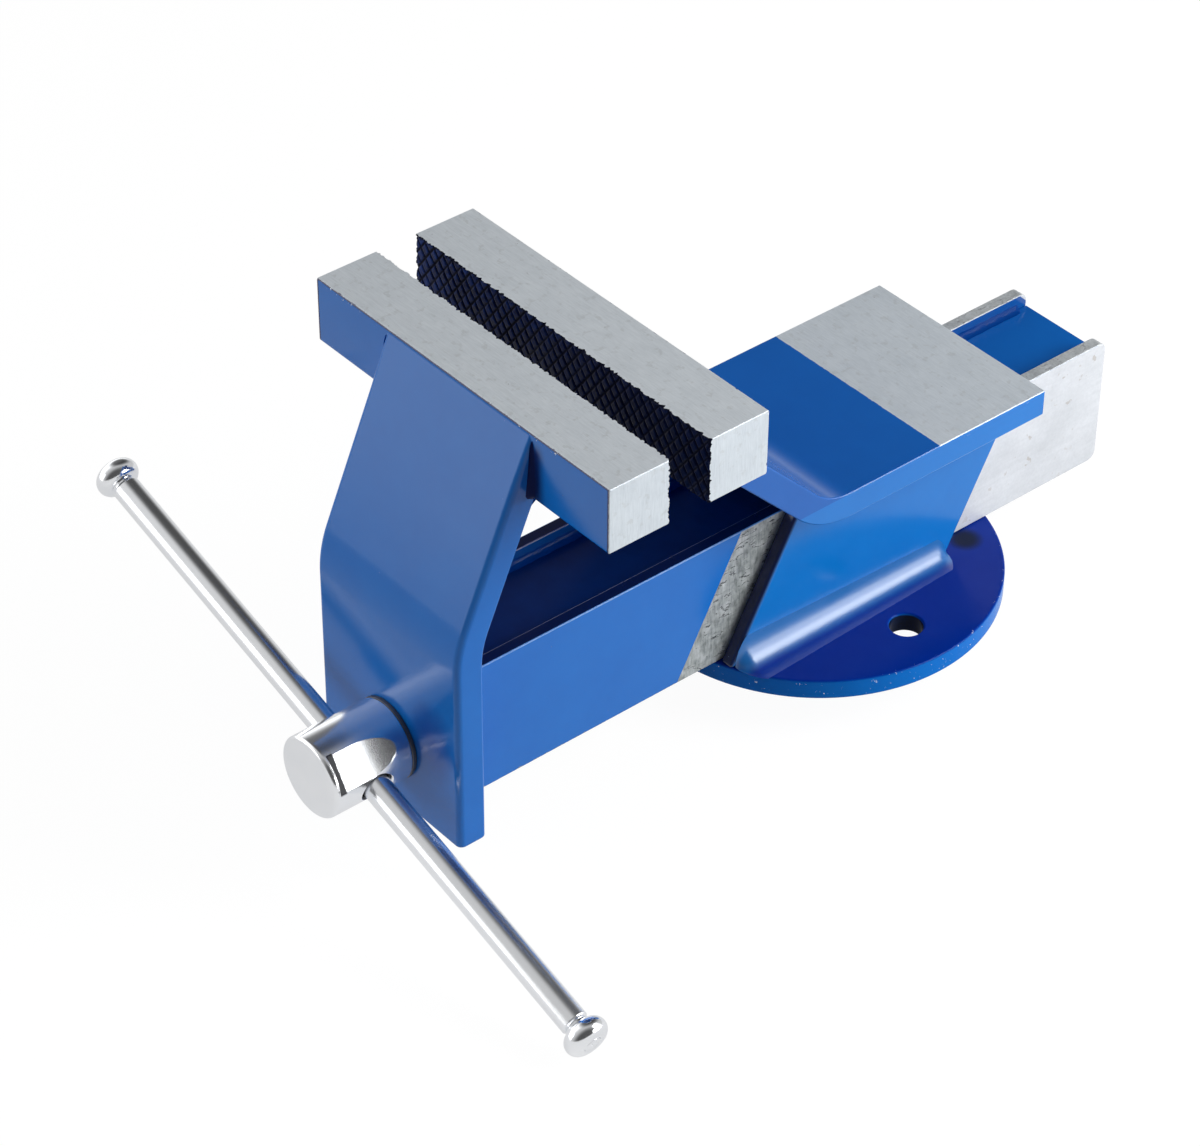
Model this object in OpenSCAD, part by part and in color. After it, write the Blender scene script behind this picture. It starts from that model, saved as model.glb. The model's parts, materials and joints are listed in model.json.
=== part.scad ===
// Fabricated steel bench vise. Millimetres. X runs across the jaws, Y along the slide with the
// screw head at -Y, Z up. The origin is the centre of the round base's underside, on the bench.

/* [Jaws] */
// Width of both jaw bars
jaw_w = 150; // [110:1:190]
// Side of the square bars the jaws are cut from
jaw_s = 25; // [20:0.5:30]
// Space between the gripping faces as stored
jaw_gap = 16; // [6:0.5:40]
// Distance from the base's centre to the fixed gripping face
jaw_reach = 119; // [112:0.5:130]
// Height of the jaw tops above the anvil
throat_h = 85.4; // [70:0.2:100]

/* [Top plate] */
// Thickness of the bent plate that is anvil and rear neck
top_t = 10.5; // [8:0.5:14]
// Width of that plate
top_w = 86; // [70:1:110]
// Inner radius of its bend
top_bend_r = 24; // [12:1:30]
// Slope of its neck above the level
neck_rise = 45; // [40:1:52]
// Distance from the base's centre to its rear end
anvil_rear = 69.5; // [60:0.5:80]

/* [Front plate] */
// Thickness of the front plate
front_t = 11; // [8:0.5:14]
// Width of the front plate
front_w = 75; // [64:1:90]
// Lean of its upper part from upright
front_lean = 23.4; // [14:0.2:30]
// Height of the bend's corner above the bench
front_bend_z = 84.4; // [78:0.2:100]
// Inner radius of that bend
front_bend_r = 34; // [15:1:50]
// Height of the plate's lower end above the bench face
front_foot = 2; // [0:0.5:6]
// Distance from the jaw top down to where the plate's face leaves the jaw's face
front_start = 2; // [1:0.5:6]

/* [Slide] */
// Width over the two side flats
slide_w = 46; // [42:0.5:56]
// Height of the side flats
slide_h = 53.2; // [48:0.2:64]
// Thickness of the side flats
flat_t = 5; // [4:0.25:6]
// Thickness of the web between them
web_t = 5; // [4:0.25:6]
// Depth of the web's top below the flats' tops
web_drop = 6; // [3:0.5:8]
// Length of the slide behind the front plate
slide_len = 303; // [285:1:320]
// Radius on the rear corners of the flats
flat_corner_r = 4; // [1:0.5:8]

/* [Body] */
// Thickness of the body's side walls
wall_t = 6; // [5:0.5:10]
// Length of the walls along the slide
wall_len = 104.5; // [90:0.5:110]
// Forward lean of the walls from upright
wall_lean = 28; // [20:1:30]
// Thickness of the guide strips under the top plate
strip_t = 2.2; // [1.5:0.1:4]

/* [Base] */
// Diameter of the round base
base_d = 140; // [134:1:180]
// Thickness of the round base
base_t = 8; // [7:0.5:12]
// Distance between the two bench bolt holes
bolt_span = 100; // [90:1:110]
// Diameter of the bench bolt holes
bolt_hole_d = 12.4; // [8:0.2:14]
// Radius of the weld along each wall's foot
base_weld_r = 9; // [4:0.5:11]

/* [Screw] */
// Outer diameter of the screw
screw_d = 22; // [18:0.5:24]
// Lead of the thread
pitch = 5; // [4:0.5:6]
// Height of the screw above the base's top face
screw_rise = 20; // [18:0.5:22]
// Length of the screw behind the front plate
screw_len = 287; // [270:1:295]
// Depth of the thread
thread_depth = 2.5; // [1:0.1:3]
// Diameter of the head
head_d = 30.2; // [27:0.2:34]
// Length of the head
head_len = 32; // [30:0.5:40]
// Distance across the head's spanner flats
head_flats = 27; // [25:0.2:29]
// Turn of those flats above the level
head_flats_turn = 33; // [0:1:60]
// Distance from the head's face to the handle's axis
head_hole = 17.5; // [16:0.5:20]
// Thickness of the thrust washer
washer_t = 1.5; // [1:0.1:3]
// Length of the pinned collar behind the front plate
collar_len = 10; // [8:0.5:14]
// Outer diameter of that collar
collar_d = 33; // [31:0.5:34]
// Diameter of the collar's spring pin
pin_d = 5; // [4:0.5:6]

/* [Nut] */
// Width of the nut block
nut_w = 32; // [29:0.5:33]
// Length of the nut block
nut_len = 40; // [30:1:50]
// Height of the nut block
nut_h = 39; // [35:0.5:40]
// Distance from the base's centre forward to the nut's middle
nut_reach = 32; // [28:1:36]
// Diameter of the countersunk bolts that hold it
nut_bolt_d = 6; // [5:0.5:6.5]

/* [Handle] */
// Diameter of the handle bar
bar_d = 10; // [8:0.2:12]
// Length of the bar between the knobs
bar_len = 255; // [200:1:300]
// Droop of the bar towards +X as stored
bar_tilt = 16.6; // [0:0.2:60]
// Distance the bar has slid towards -X as stored
bar_shift = 5; // [0:1:40]
// Diameter of the end knobs
knob_d = 16; // [14:0.5:22]
// Length of the end knobs
knob_len = 9; // [7:0.5:12]

/* [Hidden] */
$fn = 96;

slip = 0.3;            // flat faces that slide past each other
run = 0.08;            // radial clearance of a shaft that turns
seat = 0.02;           // radial clearance of parts that stay put
play = 0.1;            // end play of the screw in the front plate
drill = 0.3;           // radial clearance of a bolt in its hole
over = 1;              // overlap of a cutting shape
far = 400;             // reach of a cutting shape

slide_z = base_t + slip;
slide_top = slide_z + slide_h;
web_top = slide_top - web_drop;
under_z = slide_top + slip + strip_t;
anvil_z = under_z + top_t;
jaw_z = anvil_z + throat_h;
jaw_foot = jaw_z - jaw_s;

fixed_face = -jaw_reach;
fixed_back = fixed_face + jaw_s;
move_back = fixed_face - jaw_gap;
move_front = move_back - jaw_s;

front_rise = jaw_z - front_start - front_bend_z;
front_y = move_front - front_rise * tan(front_lean);
front_back = front_y + front_t;
front_out_r = front_bend_r + front_t;
front_bend_low = front_bend_z - front_out_r * tan(front_lean / 2);
front_neck_y = move_front - (jaw_s - front_start) * tan(front_lean) + front_t / cos(front_lean);

top_out_r = top_bend_r + top_t;
neck_len = (throat_h + top_t) / sin(neck_rise);
top_corner = fixed_back + (jaw_foot - anvil_z) / tan(neck_rise);
top_bend_y = top_corner + top_bend_r * tan(neck_rise / 2);
neck_low_y = fixed_back - top_t / sin(neck_rise);
jaw_weld_leg = 6;
jaw_weld_back_leg = 5;
jaw_weld_end = 2;

slide_rear = front_back + slide_len;
flat_in = slide_w / 2 - flat_t;
wall_in = slide_w / 2 + slip;
wall_out = wall_in + wall_t;
wall_h = under_z - base_t;
wall_shift = wall_h * tan(wall_lean);
wall_extra = 6;
bend_n = 20;
fine_fn = 360;
web_weld_r = 2.5;
web_weld_end = 4;
slide_weld_r = 5;

screw_z = base_t + screw_rise;
screw_end = front_back + screw_len;
washer_rear = front_y - play;
washer_y = washer_rear - washer_t;
head_y = washer_y - head_len;
bar_y = head_y + head_hole;
tenon_d = 16;
tenon_len = 6;
head_edge = 1.4;
head_rear_edge = 0.6;
flats_from = 2.2;
flats_to = 23;
collar_y = front_back + slip;
pin_y = collar_y + collar_len / 2;
thread_gap = 3;
thread_y = collar_y + collar_len + thread_gap;
thread_end = 3;
thread_n = floor((screw_end - thread_end - thread_y) / pitch);
crest = 0.37 * pitch;
flank = 0.13 * pitch;
mouth = 0.8;

nut_mid = -nut_reach;
nut_edge = 2;
nut_bolt_x = 10.5;
nut_bolt_inset = 7;
nut_bolt_y = nut_len / 2 - nut_bolt_inset;
nut_bolt_grip = 9;
nut_bolt_top = base_t + nut_bolt_grip;
nut_bolt_head_d = 2 * nut_bolt_d;
nut_bolt_sink = 0.3;
nut_bolt_cone = (nut_bolt_head_d - nut_bolt_d) / 2;
hex_r = 2;
hex_depth = 2;

shank_d = 6.4;
bar_edge = 0.8;
boss_d = 8.4;
boss_len = 1.1;

paint = [0.07, 0.27, 0.62];
steel = [0.72, 0.73, 0.74];
dark_steel = [0.32, 0.33, 0.35];
chrome = [0.86, 0.87, 0.89];

// A flat shape drawn in Y and Z, drawn out along X
module yz(x0, x1) {
    translate([x0, 0, 0]) rotate([90, 0, 90]) linear_extrude(x1 - x0) children();
}

// A flat shape drawn in X and Z, drawn out along Y
module xz(y0, y1) {
    translate([0, y1, 0]) rotate([90, 0, 0]) linear_extrude(y1 - y0) children();
}

// A round along the screw's axis from y0 to y1
module along_y(y0, y1, d1, d2) {
    translate([0, y0, screw_z]) rotate([-90, 0, 0]) cylinder(h = y1 - y0, d1 = d1, d2 = d2);
}

// The frame of the handle bar, with X along it
module bar_frame() {
    translate([0, bar_y, screw_z]) rotate([0, bar_tilt, 0]) children();
}

// Hollow corner weld of radius r between two lines that leave a point at angles a0 and a1
module fillet(p, a0, a1, r) {
    half = (a1 - a0) / 2;
    mid = (a0 + a1) / 2;
    run_out = r / tan(half);
    c = p + r / sin(half) * [cos(mid), sin(mid)];
    difference() {
        polygon([p, p + run_out * [cos(a0), sin(a0)], c, p + run_out * [cos(a1), sin(a1)]]);
        translate(c) circle(r, $fn = fine_fn);
    }
}

// Flat corner weld with legs of one length between two lines at angles a0 and a1
module flat_weld(p, a0, a1, leg)
    polygon([p, p + leg * [cos(a0), sin(a0)], p + leg * [cos(a1), sin(a1)]]);

// A strip of thickness t that runs up at -X of the origin, then turns clockwise round it
module bent_strip(r, t, angle, before, after) {
    out = r + t;
    turns = [for (i = [0:bend_n]) angle * i / bend_n];
    on = after * [sin(angle), cos(angle)];
    polygon(concat([[-out, -before]], [for (a = turns) out * [-cos(a), sin(a)]],
        [out * [-cos(angle), sin(angle)] + on, r * [-cos(angle), sin(angle)] + on],
        [for (i = [bend_n:-1:0]) r * [-cos(turns[i]), sin(turns[i])]], [[-r, -before]]));
}

// Side view of the front plate
module front_side() difference() {
    translate([front_y + front_out_r, front_bend_low])
        bent_strip(front_bend_r, front_t, front_lean, front_bend_low - front_foot, jaw_z);
    translate([move_front, jaw_foot]) square(far);
}

module front_plate() color(paint) difference() {
    yz(-front_w / 2, front_w / 2) front_side();
    along_y(front_y - over, front_back + over, screw_d + 2 * run, screw_d + 2 * run);
}

module jaw_bar(y) {
    translate([-jaw_w / 2, y, jaw_foot]) cube([jaw_w, jaw_s, jaw_s]);
}

module moving_jaw() color(steel) jaw_bar(move_front);

module fixed_jaw() color(steel) jaw_bar(fixed_face);

module moving_jaw_weld() color(paint)
    yz(jaw_weld_end - front_w / 2, front_w / 2 - jaw_weld_end)
        flat_weld([front_neck_y, jaw_foot], -90 - front_lean, 0, jaw_weld_leg);

module flat_side() {
    translate([front_back, slide_z]) {
        square([slide_len - flat_corner_r, slide_h]);
        translate([slide_len - flat_corner_r, flat_corner_r]) {
            translate([-over, 0]) square([flat_corner_r + over, slide_h - 2 * flat_corner_r]);
            circle(flat_corner_r);
            translate([0, slide_h - 2 * flat_corner_r]) circle(flat_corner_r);
        }
    }
}

module slide_flat_left() color(steel) yz(-slide_w / 2, -flat_in) flat_side();

module slide_flat_right() color(steel) yz(flat_in, slide_w / 2) flat_side();

module slide_web() color(paint)
    translate([-flat_in, front_back, web_top - web_t]) cube([2 * flat_in, slide_len, web_t]);

module web_welds() color(paint) {
    xz(front_back + web_weld_end, slide_rear - web_weld_end)
        fillet([-flat_in, web_top], 0, 90, web_weld_r);
    xz(front_back + web_weld_end, slide_rear - web_weld_end)
        fillet([flat_in, web_top], 90, 180, web_weld_r);
}

module slide_welds() color(paint) {
    translate([0, 0, slide_z]) linear_extrude(slide_h)
        fillet([slide_w / 2, front_back], 0, 90, slide_weld_r);
    translate([0, 0, slide_z]) linear_extrude(slide_h)
        fillet([-slide_w / 2, front_back], 90, 180, slide_weld_r);
}

module top_plate() color(paint) yz(-top_w / 2, top_w / 2) difference() {
    translate([top_bend_y, anvil_z + top_bend_r]) rotate(90)
        bent_strip(top_bend_r, top_t, neck_rise, anvil_rear - top_bend_y, neck_len);
    translate([-far, jaw_foot]) square([2 * far, far]);
}

module fixed_jaw_weld() color(paint) yz(jaw_weld_end - top_w / 2, top_w / 2 - jaw_weld_end) {
    flat_weld([neck_low_y, jaw_foot], 180, 360 - neck_rise, jaw_weld_leg);
    flat_weld([fixed_back, jaw_foot], -neck_rise, 90, jaw_weld_back_leg);
}

// Side view of a wall: a leaning plate whose top follows the bent plate's underside
module wall_side() {
    extra_shift = wall_extra * tan(wall_lean);
    difference() {
        polygon([[anvil_rear - wall_len - wall_shift, base_t], [anvil_rear - wall_shift, base_t],
            [anvil_rear + extra_shift, under_z + wall_extra],
            [anvil_rear - wall_len + extra_shift, under_z + wall_extra]]);
        translate([top_bend_y, under_z]) square(far);
        translate([top_bend_y, anvil_z + top_bend_r]) {
            circle(top_out_r);
            rotate(-neck_rise) translate([-far, -top_out_r]) square([far, far]);
        }
    }
}

module body_wall_left() color(paint) yz(-wall_out, -wall_in) wall_side();

module body_wall_right() color(paint) yz(wall_in, wall_out) wall_side();

module base_welds() color(paint) intersection() {
    xz(-far, far) {
        fillet([wall_out, base_t], 0, 90, base_weld_r);
        fillet([-wall_out, base_t], 90, 180, base_weld_r);
    }
    yz(-far, far) wall_side();
}

module guide_strips() color(dark_steel) for (side = [-1, 1])
    translate([side * (slide_w / 2 - flat_t / 2), 0, 0])
        translate([-flat_t / 2, top_bend_y, under_z - strip_t])
            cube([flat_t, anvil_rear - top_bend_y - over, strip_t]);

// The nut's bolts, thickened by a clearance where they cut a hole
module nut_bolt(grow, top) {
    translate([0, 0, nut_bolt_sink]) cylinder(h = top - nut_bolt_sink, r = nut_bolt_d / 2 + grow);
    translate([0, 0, nut_bolt_sink])
        cylinder(h = nut_bolt_cone, r1 = nut_bolt_head_d / 2 + grow, r2 = nut_bolt_d / 2 + grow);
    if (grow > 0) translate([0, 0, -over])
        cylinder(h = over + nut_bolt_sink, r = nut_bolt_head_d / 2 + grow);
}

module nut_bolt_places() for (x = [-nut_bolt_x, nut_bolt_x], y = [-nut_bolt_y, nut_bolt_y])
    translate([x, nut_mid + y, 0]) children();

module nut_bolts() color(dark_steel) nut_bolt_places() difference() {
    nut_bolt(0, nut_bolt_top);
    translate([0, 0, nut_bolt_sink - over]) linear_extrude(hex_depth + over)
        polygon([for (a = [0:60:300]) hex_r * [cos(a), sin(a)]]);
}

module nut_block() color(dark_steel) difference() {
    translate([0, 0, base_t]) xz(nut_mid - nut_len / 2, nut_mid + nut_len / 2)
        polygon([[-nut_w / 2, 0], [nut_w / 2, 0], [nut_w / 2, nut_h - nut_edge],
            [nut_w / 2 - nut_edge, nut_h], [nut_edge - nut_w / 2, nut_h],
            [-nut_w / 2, nut_h - nut_edge]]);
    along_y(-far, far, screw_d + 2 * run, screw_d + 2 * run);
    nut_bolt_places() cylinder(h = nut_bolt_top + over, r = nut_bolt_d / 2 + seat);
}

module base_plate() color(paint) difference() {
    cylinder(h = base_t, d = base_d, $fn = 180);
    for (side = [-1, 1]) translate([side * bolt_span / 2, 0, -over])
        cylinder(h = base_t + 2 * over, d = bolt_hole_d);
    nut_bolt_places() nut_bolt(drill, base_t + over);
}

module screw() color(dark_steel) difference() {
    translate([0, 0, screw_z]) rotate([-90, 0, 0]) rotate_extrude() polygon(concat(
        [[0, washer_y - tenon_len], [tenon_d / 2, washer_y - tenon_len],
            [tenon_d / 2, washer_y], [screw_d / 2, washer_y]],
        [for (i = [0:thread_n - 1], q = [[0, 0], [thread_depth, flank],
            [thread_depth, pitch - crest - flank], [0, pitch - crest]])
            [screw_d / 2 - q[0], thread_y + i * pitch + q[1]]],
        [[screw_d / 2, screw_end - thread_end], [screw_d / 2 - thread_depth, screw_end],
            [0, screw_end]]));
    translate([-collar_d / 2 - over, pin_y, screw_z]) rotate([0, 90, 0])
        cylinder(h = collar_d + 2 * over, r = pin_d / 2 + seat);
}

module screw_head() color(chrome) difference() {
    union() {
        along_y(head_y, head_y + head_edge, head_d - 2 * head_edge, head_d);
        along_y(head_y + head_edge, washer_y - head_rear_edge, head_d, head_d);
        along_y(washer_y - head_rear_edge, washer_y, head_d, head_d - 2 * head_rear_edge);
    }
    along_y(washer_y - tenon_len, washer_y + over, tenon_d + 2 * seat, tenon_d + 2 * seat);
    for (turn = [-head_flats_turn, 180 - head_flats_turn])
        translate([0, head_y + flats_from, screw_z]) rotate([0, turn, 0])
            translate([head_flats / 2, 0, -head_d]) cube([head_d, flats_to - flats_from, 2 * head_d]);
    bar_frame() {
        translate([-head_d, 0, 0]) rotate([0, 90, 0]) cylinder(h = 2 * head_d, r = bar_d / 2 + run);
        for (turn = [0, 180]) rotate([0, turn, 0])
            translate([head_d / 2 - 2 * mouth, 0, 0]) rotate([0, 90, 0])
                cylinder(h = 4 * mouth, r1 = bar_d / 2 + run, r2 = bar_d / 2 + run + 4 * mouth);
    }
}

module thrust_washer() color(steel) difference() {
    along_y(washer_y, washer_rear, head_d, head_d);
    along_y(washer_y - over, washer_rear + over, screw_d + 2 * drill, screw_d + 2 * drill);
}

module retaining_collar() color(dark_steel) difference() {
    along_y(collar_y, collar_y + collar_len, collar_d, collar_d);
    along_y(collar_y - over, collar_y + collar_len + over, screw_d + 2 * seat, screw_d + 2 * seat);
    translate([-collar_d / 2 - over, pin_y, screw_z]) rotate([0, 90, 0])
        cylinder(h = collar_d + 2 * over, r = pin_d / 2 + seat);
}

module collar_pin() color(steel) translate([-collar_d / 2 + over / 2, pin_y, screw_z])
    rotate([0, 90, 0]) difference() {
        cylinder(h = collar_d - over, d = pin_d);
        translate([0, 0, -over]) cylinder(h = collar_d + over, d = pin_d / 2);
        translate([-pin_d, -over / 4, -over]) cube([pin_d, over / 2, collar_d + over]);
    }

module handle_bar() color(chrome) bar_frame() translate([-bar_shift, 0, 0]) rotate([0, 90, 0]) {
    cylinder(h = bar_len - 2 * bar_edge, d = bar_d, center = true);
    cylinder(h = bar_len + 2 * knob_len, d = shank_d, center = true);
    for (turn = [0, 180]) rotate([turn, 0, 0])
        translate([0, 0, bar_len / 2 - bar_edge])
            cylinder(h = bar_edge, d1 = bar_d, d2 = bar_d - 2 * bar_edge);
}

// A flattened ball with a small boss on the side that faces the bar
module knob() difference() {
    union() {
        rotate_extrude() intersection() {
            union() {
                square([knob_d / 2 - knob_len / 2, knob_len - boss_len]);
                translate([knob_d / 2 - (knob_len - boss_len) / 2, (knob_len - boss_len) / 2])
                    circle((knob_len - boss_len) / 2);
            }
            square([knob_d, knob_len]);
        }
        translate([0, 0, knob_len - boss_len - over])
            cylinder(h = boss_len + over, d = boss_d);
    }
    translate([0, 0, -over]) cylinder(h = knob_len + 2 * over, r = shank_d / 2 + seat);
}

module handle_knob_right() color(chrome) bar_frame()
    translate([bar_len / 2 + knob_len - bar_shift, 0, 0]) rotate([0, -90, 0]) knob();

module handle_knob_left() color(chrome) bar_frame()
    translate([-bar_len / 2 - knob_len - bar_shift, 0, 0]) rotate([0, 90, 0]) knob();

base_plate();
base_welds();
body_wall_left();
body_wall_right();
top_plate();
guide_strips();
fixed_jaw();
fixed_jaw_weld();
nut_block();
nut_bolts();
front_plate();
moving_jaw();
moving_jaw_weld();
slide_flat_left();
slide_flat_right();
slide_web();
web_welds();
slide_welds();
screw();
screw_head();
thrust_washer();
retaining_collar();
collar_pin();
handle_bar();
handle_knob_left();
handle_knob_right();
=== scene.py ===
import json
import random
from math import acos, cos, pi, radians, sin, sqrt, tan

import bmesh
import bpy
from mathutils import Matrix, Vector, noise


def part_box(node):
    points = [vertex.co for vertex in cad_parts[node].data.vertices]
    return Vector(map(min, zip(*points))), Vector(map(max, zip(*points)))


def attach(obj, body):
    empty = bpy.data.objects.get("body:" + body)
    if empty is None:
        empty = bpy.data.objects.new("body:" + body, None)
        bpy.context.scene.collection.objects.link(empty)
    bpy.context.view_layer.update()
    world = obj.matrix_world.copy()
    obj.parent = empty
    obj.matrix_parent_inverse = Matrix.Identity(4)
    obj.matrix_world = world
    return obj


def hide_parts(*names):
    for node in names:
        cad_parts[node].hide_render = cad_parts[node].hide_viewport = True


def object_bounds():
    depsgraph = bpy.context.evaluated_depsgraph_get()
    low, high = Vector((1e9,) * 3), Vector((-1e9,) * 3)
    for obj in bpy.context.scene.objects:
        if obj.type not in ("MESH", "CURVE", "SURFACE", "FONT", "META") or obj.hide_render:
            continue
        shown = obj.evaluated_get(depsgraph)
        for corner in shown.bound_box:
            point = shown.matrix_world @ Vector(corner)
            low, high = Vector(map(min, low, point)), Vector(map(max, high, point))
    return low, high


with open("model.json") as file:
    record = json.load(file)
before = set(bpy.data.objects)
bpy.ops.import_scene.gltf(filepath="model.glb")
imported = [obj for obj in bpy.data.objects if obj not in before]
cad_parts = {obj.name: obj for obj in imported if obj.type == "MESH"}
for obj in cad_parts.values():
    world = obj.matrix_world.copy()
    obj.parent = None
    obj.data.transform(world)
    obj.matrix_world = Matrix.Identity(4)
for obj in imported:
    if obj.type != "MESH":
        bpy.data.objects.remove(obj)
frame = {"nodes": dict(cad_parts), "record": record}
cad_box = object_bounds()

MM = 0.001
BODIES = {node: body for body, nodes in frame["record"]["behaviour"]["bodies"].items() for node in nodes}

# Camera, as solved from the photograph
IMAGE_W = 1200
CAMERA_AT = (0.81254, -0.78623, 0.89787)
CAMERA_RIGHT = (0.64158, 0.76704, 0.00584)
CAMERA_UP = (-0.48065, 0.39608, 0.78237)
FOCAL_PX = 3965.9
SENSOR = 36.0

# Places read from the frame
jaw_low, jaw_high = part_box("moving_jaw")
fixed_low, fixed_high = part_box("fixed_jaw")
front_low, front_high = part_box("front_plate")
top_low, top_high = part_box("top_plate")
base_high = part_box("base_plate")[1]
flat_low, flat_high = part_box("slide_flat_right")
web_low, web_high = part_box("slide_web")
screw_low, screw_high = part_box("screw")
head_low, head_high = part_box("screw_head")
wall_low, wall_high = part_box("body_wall_right")
strip_low, strip_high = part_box("guide_strips")
collar_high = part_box("retaining_collar")[1]
SCREW_Z = (screw_low.z + screw_high.z) / 2
SCREW_R = (screw_high.z - screw_low.z) / 2
ANVIL_Z = strip_high.z + 10.5 * MM

# Front plate's sizes
FRONT_T = web_low.y - front_low.y
FRONT_FACE_EDGE = 2.4 * MM
FRONT_REAR_EDGE = 1.2 * MM
FRONT_FOOT_EDGE = 1.6 * MM
FRONT_LEAN = radians(23.4)
FRONT_BEND_R = 34 * MM
FRONT_START = 0.9 * MM
FRONT_BLEND_R = 1.5 * MM
FRONT_SEAT = 4 * MM
FOOT_STEPS = 5

# Grip pattern of the jaws, with its grooves numbered so that GRIP_MIDDLE passes the frame's origin
GRIP_PITCH = 4.8 * MM
GRIP_SLOPE = tan(radians(53))
GRIP_DEPTH = 0.6 * MM
GRIP_STEP = 0.3 * MM
GRIP_GROOVE = 0.36
GRIP_GROOVES = 200
GRIP_MIDDLE = 80

# Paint, grime and ground patches, and patches of painted shade
WALL_LEAN = tan(radians(28))
SLIDE_PAINT_TOP_Y = -55.9 * MM
SLIDE_GRIME_LEN = 24 * MM
TOP_BARE_Y = 34 * MM
ANVIL_GROUND_Y = 17.9 * MM
BOLT_HOLE_X = 50 * MM
BOLT_HOLE_R = 6.6 * MM
SHADE_PATCH_BACK = 74 * MM
SHADE_PATCH_R = 5.6 * MM
HEAD_SHADE_X = 23 * MM
HEAD_SHADE_RISE = 13 * MM
HEAD_SHADE_R = 12 * MM
CORNER_SHADE_W = 4.5 * MM
CORNER_SHADE_DROP = 4 * MM

# Tones of the enamel, each from its darker to its lighter colour; the lit, shaded and highlight tones
# paint light and shade into the enamel
PLAIN_BLUE = ((0.001, 0.124, 0.490), (0.003, 0.162, 0.580))
LIT_WALL_BLUE = ((0.001, 0.143, 0.490), (0.003, 0.182, 0.580))
LIT_TOP_PLATE_BLUE = ((0.001, 0.140, 0.490), (0.003, 0.178, 0.580))
SHADED_ANVIL_TOP_BLUE = ((0.001, 0.090, 0.390), (0.002, 0.115, 0.460))
SHADED_WEB_TOP_BLUE = ((0.001, 0.095, 0.390), (0.002, 0.120, 0.460))
DULL_BLUE = ((0.001, 0.110, 0.360), (0.003, 0.140, 0.430))
SHADED_INNER_BLUE = ((0.001, 0.060, 0.270), (0.002, 0.085, 0.350))
SHADED_BASE_BLUE = ((0.0005, 0.018, 0.215), (0.001, 0.028, 0.285))
HEAD_SHADE_BLUE = ((0.0005, 0.018, 0.200), (0.001, 0.026, 0.260))
SHADED_WEB_CORNER_BLUE = ((0.0005, 0.03, 0.17), (0.001, 0.05, 0.26))
SHADED_WEB_FRONT_BLUE = ((0.0005, 0.010, 0.075), (0.001, 0.020, 0.13))
SHADE_AND_REFLECTION_BLUE = ((0.0005, 0.006, 0.070), (0.001, 0.011, 0.110))
SHADED_WALL_FRONT_BLUE = ((0.0005, 0.005, 0.050), (0.001, 0.010, 0.080))
SHADED_SLIDE_TOP_BLUE = ((0.0005, 0.004, 0.040), (0.001, 0.010, 0.070))
HOLE_SHADE_BLUE = ((0.0005, 0.004, 0.022), (0.003, 0.012, 0.050))
LIT_EDGE_BLUE = ((0.10, 0.34, 0.74), (0.18, 0.42, 0.80))
HIGHLIGHT_OUTER_EDGE_BLUE = ((0.05, 0.20, 0.56), (0.12, 0.30, 0.66))
HIGHLIGHT_INNER_EDGE_BLUE = ((0.08, 0.10, 0.26), (0.18, 0.20, 0.38))

# Screw's thread and neck
THREAD_PITCH = 5 * MM
THREAD_DEPTH = 2.5 * MM
THREAD_CREST = 0.37
THREAD_FLANK = 0.13
THREAD_CHAMFER = 3 * MM
NECK_R = 8 * MM

# Screw head's sizes
HEAD_R = (head_high.z - head_low.z) / 2
HEAD_FLAT = 13.5 * MM
HEAD_FLAT_TURN = radians(33)
HEAD_EDGE = 1.4 * MM
HEAD_SHOULDER = 2.2 * MM
HEAD_FLAT_END = 12.5 * MM
HEAD_RUNOUT = 27 * MM
RUNOUT_STEPS = 10
HEAD_LEAST_OPENING = radians(4)
HOLE_R = 5.5 * MM

# Handle's sizes
BAR_TILT = radians(16.6)
BAR_D = 10 * MM
BAR_LEN = 255 * MM
BAR_SHIFT = 5 * MM
SHANK_D = 6.4 * MM
KNOB_D = 16 * MM
KNOB_LEN = 9 * MM
BOSS_D = 8.4 * MM
BOSS_LEN = 1.1 * MM
BAR_Y = head_low.y + 17.5 * MM

# Studio's directions and floor
VISE_MIDDLE = Vector((0, -0.05, 0.06))
UPPER_REAR = (-0.45, 0.45, 0.77)
RIGHT_SIDE = (0.95, -0.30, 0.05)
LEFT_SIDE = (-0.95, 0.0, 0.30)
FLOOR_R = 6.0
FLOOR_GAP = 0.8 * MM


class Value:
    """A shader socket that Python expressions can use: each operator adds its Math node."""

    def __init__(self, tree, socket):
        self.tree = tree
        self.socket = socket

    def math(self, operation, *others):
        return self.tree.add("ShaderNodeMath", {"operation": operation}, [self, *others])

    def __add__(self, other):
        return self.math("ADD", other)

    def __sub__(self, other):
        return self.math("SUBTRACT", other)

    def __rsub__(self, other):
        return self.tree.add("ShaderNodeMath", {"operation": "SUBTRACT"}, [other, self])

    def __mul__(self, other):
        return self.math("MULTIPLY", other)

    def __abs__(self):
        return self.math("ABSOLUTE")

    __radd__ = __add__
    __rmul__ = __mul__

    def larger(self, other):
        return self.math("MAXIMUM", other)

    def above(self, edge, soft=0.05 * MM):
        """1 where this is above an edge and 0 below it, with a soft step of twice a width between."""
        step = {"interpolation_type": "SMOOTHSTEP", "clamp": True}
        sockets = {"Value": self - edge, "From Min": -soft, "From Max": soft}
        return self.tree.add("ShaderNodeMapRange", step, sockets)

    def below(self, edge, soft=0.05 * MM):
        return 1 - self.above(edge, soft)


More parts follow.
